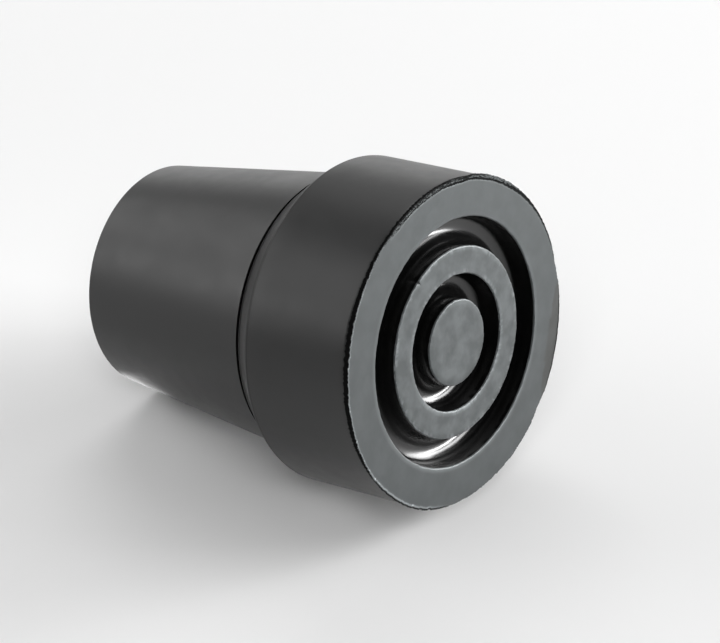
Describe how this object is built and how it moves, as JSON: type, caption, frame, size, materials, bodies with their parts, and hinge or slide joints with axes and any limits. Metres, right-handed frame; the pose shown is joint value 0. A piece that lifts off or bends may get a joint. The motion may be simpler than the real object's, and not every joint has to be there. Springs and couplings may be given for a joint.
{
  "type": "cane tip",
  "caption": "Round moulded rubber tip for a walking cane: a flat grooved sole, a bevelled shoulder and a tapered sleeve whose blind socket grips the shaft.",
  "frame": {"origin": "middle of the sole's flat face, on the axis of the socket", "axes": "+Z along the axis, from the sole to the socket's mouth; the tip is round, so X and Y are free"},
  "size_m": [0.0386, 0.0386, 0.0445],
  "materials": {
    "rubber": "satin black moulded rubber, smoother and greyer on the sole, glossy in the grooves"
  },
  "bodies": {
    "root": {"cane_tip": "rubber"}
  },
  "joints": []
}
